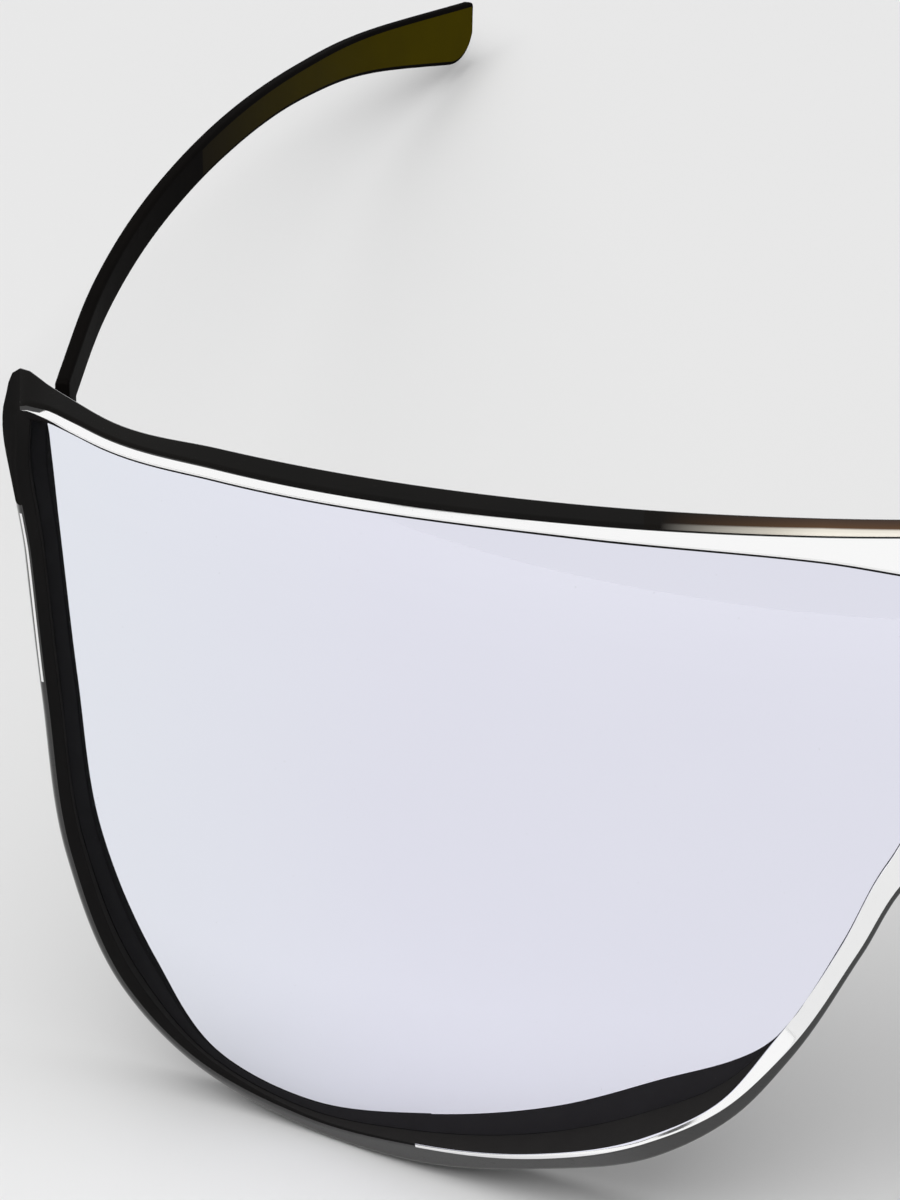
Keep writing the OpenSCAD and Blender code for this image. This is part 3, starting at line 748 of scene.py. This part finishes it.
def temple_skin(side):
    """The temple's arm, from its butt end at the front to its tip."""
    rings = []
    last = len(run) - 1
    for i, row in enumerate(run):
        along, inboard, bend, high = row
        a, b = run[max(i - 1, 0)], run[min(i + 1, last)]
        ahead = Vector((b[1] - a[1], b[0] - a[0], a[2] - b[2])).normalized()
        across = Vector((ahead.y, -ahead.x, 0)).normalized()
        up = across.cross(ahead)
        left = min(max(TEMPLE_LONG - along, 0) / TIP_CORNER, 1)
        high -= TIP_CORNER * (1 - math.sqrt(1 - (1 - left) ** 2))
        start = Vector((-TEMPLE_OUT + inboard, along, -bend))
        # The butt end and the tip are eased in over three rings
        layers = ((0, 0),)
        if i == 0:
            layers = ((0, END_EASE), (END_EASE, END_EASE * 0.35), (2 * END_EASE, 0))
        if i == last:
            layers = ((-2 * END_EASE, 0), (-END_EASE, END_EASE * 0.35), (0, END_EASE))
        for shift, by in layers:
            ring = rounded((
                (by, -high + by, TEMPLE_ROUND), (TEMPLE_THICK - by, -high + by, TEMPLE_ROUND),
                (TEMPLE_THICK - by, -by, TEMPLE_ROUND), (by, -by, TEMPLE_ROUND),
            ), TEMPLE_CURVE)
            at = start + ahead * shift
            rings.append([at_hinge(at + across * q.x + up * q.y, side) for q in ring])
    return sweep(rings)


arm, place = new_finish("gloss_temple_plastic")
cloud = arm.grain(place, 7)
dust = arm.grain(place, 0.35, detail=5).between(0.68, 0.84)
scuff = arm.grain(arm.stretched(place, 4, 1, 4), 1.5, detail=6).between(0.6, 0.8)
arm_finish = arm.surface({
    "Base Color": (dust * 0.25).mixed(
        cloud.mixed((0.004, 0.0037, 0.0035), (0.007, 0.006, 0.0055)), (0.03, 0.028, 0.026)),
    "Roughness": 0.28 + cloud * 0.06 + scuff * 0.1 + dust * 0.1,
    "IOR": 1.008,
    "Normal": arm.relief(arm.grain(place, 2.8, detail=2) * 0.8 + scuff * 0.2, 0.012),
})
tip, place = new_finish("olive_temple_tip")
cloud = tip.grain(place, 7)
scuff = tip.grain(tip.stretched(place, 4, 1, 4), 1.5, detail=6).between(0.6, 0.8)
along = tip.node("ShaderNodeSeparateXYZ", (), {"Vector": place}, out="Y")
thin = along.between(0.010, 0.078) * (0.75 + cloud * 0.4)
tip_finish = tip.surface({
    "Base Color": thin.mixed((0.012, 0.010, 0.008), (0.062, 0.048, 0.002)),
    "Roughness": 0.28 + cloud * 0.06 + scuff * 0.1,
    "IOR": 1.008,
    "Normal": tip.relief(tip.grain(place, 2.8, detail=2) * 0.8 + scuff * 0.2, 0.012),
})
ring_points = 4 * (TEMPLE_CURVE + 1)
INNER_FLAT = 13
OLIVE_FROM = 60


def temple_part(i):
    """1 for the inner flat of the arm's rear half, where light comes through, else 0."""
    ring, point = divmod(i, ring_points)
    return int(OLIVE_FROM < ring < len(run) and point == INNER_FLAT)


for side in ("left", "right"):
    tab = block(
        ((0, TAB_LOW, 0.45), (TAB_LONG, TAB_LOW, 1.4), (TAB_LONG + FOLD_GAP, TAB_TOP, 0.3),
         (0, TAB_TOP, 0.3)),
        -TEMPLE_OUT, -TEMPLE_OUT + TEMPLE_THICK, TAB_EDGE,
        lambda x, y, z: at_hinge((z, x, y), side),
    )
    make_piece(
        side + "_temple_arm", [temple_skin(side), tab], "temple_" + side,
        [arm_finish, tip_finish], [side + "_temple"], temple_part,
    )

# ---------------------------------------------------------------------------------------------
# Floor, lamps and camera. A pale matt floor that ends in front of the model, one broad panel
# above that lights it, and low pale walls all round that show only in gloss. The camera stands
# where the photograph was taken from.
# ---------------------------------------------------------------------------------------------
FLOOR_FRONT = -0.9
FLOOR_REACH = 6
floor_mesh = bpy.data.meshes.new("floor")
floor_mesh.from_pydata([
    (-FLOOR_REACH, FLOOR_FRONT, 0), (FLOOR_REACH, FLOOR_FRONT, 0),
    (FLOOR_REACH, FLOOR_REACH, 0), (-FLOOR_REACH, FLOOR_REACH, 0),
], [], [(0, 1, 2, 3)])
floor = bpy.data.objects.new("floor", floor_mesh)
bpy.context.scene.collection.objects.link(floor)
paper, place = new_finish("pale_paper")
floor_mesh.materials.append(paper.surface({
    "Base Color": paper.grain(place, 60, detail=3).mixed((0.80, 0.80, 0.80), (0.81, 0.81, 0.81)),
    "Roughness": 0.85,
    "IOR": 1.0,
}))


def panel(name, wide, high, at, aim, glow, lights=True, shines=True):
    """A soft lamp panel of a given brightness, facing a point; it lights, or shines in gloss."""
    lamp = bpy.data.lights.new(name, "AREA")
    lamp.shape = "RECTANGLE"
    lamp.size, lamp.size_y = wide, high
    lamp.energy = glow * wide * high * math.pi
    shown = bpy.data.objects.new(name, lamp)
    bpy.context.scene.collection.objects.link(shown)
    shown.location = at
    shown.rotation_euler = (Vector(aim) - Vector(at)).to_track_quat("-Z", "Y").to_euler()
    shown.visible_camera = False
    shown.visible_diffuse = lights
    shown.visible_glossy = shines


panel("sky_panel", 4.2, 4.2, (-0.3, -0.9, 3.0), (0, -0.4, 0), 2.22, shines=False)
panel("low_front_wall", 5.2, 1.24, (0, -2.6, -0.38), (0, 0, -0.38), 0.78, lights=False)
panel("front_wall", 5.2, 1.6, (0, -2.6, 1.04), (0, 0, 1.04), 0.9, lights=False)
for name, side in (("left", -2.6), ("right", 2.6)):
    panel(name + "_front_wall", 3.4, 1.84, (side, -0.9, 0.92), (0, -0.9, 0.92), 0.9, lights=False)
    panel(name + "_back_wall", 1.8, 0.4, (side, 1.7, 0.2), (0, 1.7, 0.2), 0.6, lights=False)
panel("back_wall", 5.2, 0.4, (0, 2.6, 0.2), (0, 0, 0.2), 0.6, lights=False)

world = bpy.data.worlds.new("studio")
bpy.context.scene.world = world
world.use_nodes = True
# The world lights softly from all round, shows pale to the camera and stays out of gloss
sky = Tone(world.node_tree)
seen = sky.node("ShaderNodeLightPath", out="Is Camera Ray")
gloss = sky.node("ShaderNodeLightPath", out="Is Glossy Ray")
background = world.node_tree.nodes["Background"]
background.inputs["Color"].default_value = (1, 1, 1, 1)
world.node_tree.links.new((0.25 + seen * 0.53 - gloss * 0.19).socket, background.inputs["Strength"])

CAMERA_PLACE = (0, -0.60719, 0.44028)
CAMERA_DOWN = math.radians(36)
CAMERA_TURN = math.radians(3.4635)
SENSOR_MM = 36
FOCAL_MM = 354.6
camera = bpy.data.objects.new("camera", bpy.data.cameras.new("camera"))
bpy.context.scene.collection.objects.link(camera)
camera.data.sensor_fit = "HORIZONTAL"
camera.data.sensor_width = SENSOR_MM
camera.data.lens = FOCAL_MM
camera.data.clip_start, camera.data.clip_end = 0.01, 50
right = Vector((1, 0, 0))
ahead = Vector((0, math.cos(CAMERA_DOWN), -math.sin(CAMERA_DOWN)))
up = right.cross(ahead)
look = ahead * math.cos(CAMERA_TURN) - right * math.sin(CAMERA_TURN)
camera.matrix_world = Matrix.LocRotScale(
    Vector(CAMERA_PLACE), Matrix((look.cross(up), up, -look)).transposed(), None)
bpy.context.scene.camera = camera
bpy.context.scene.view_settings.view_transform = "Standard"
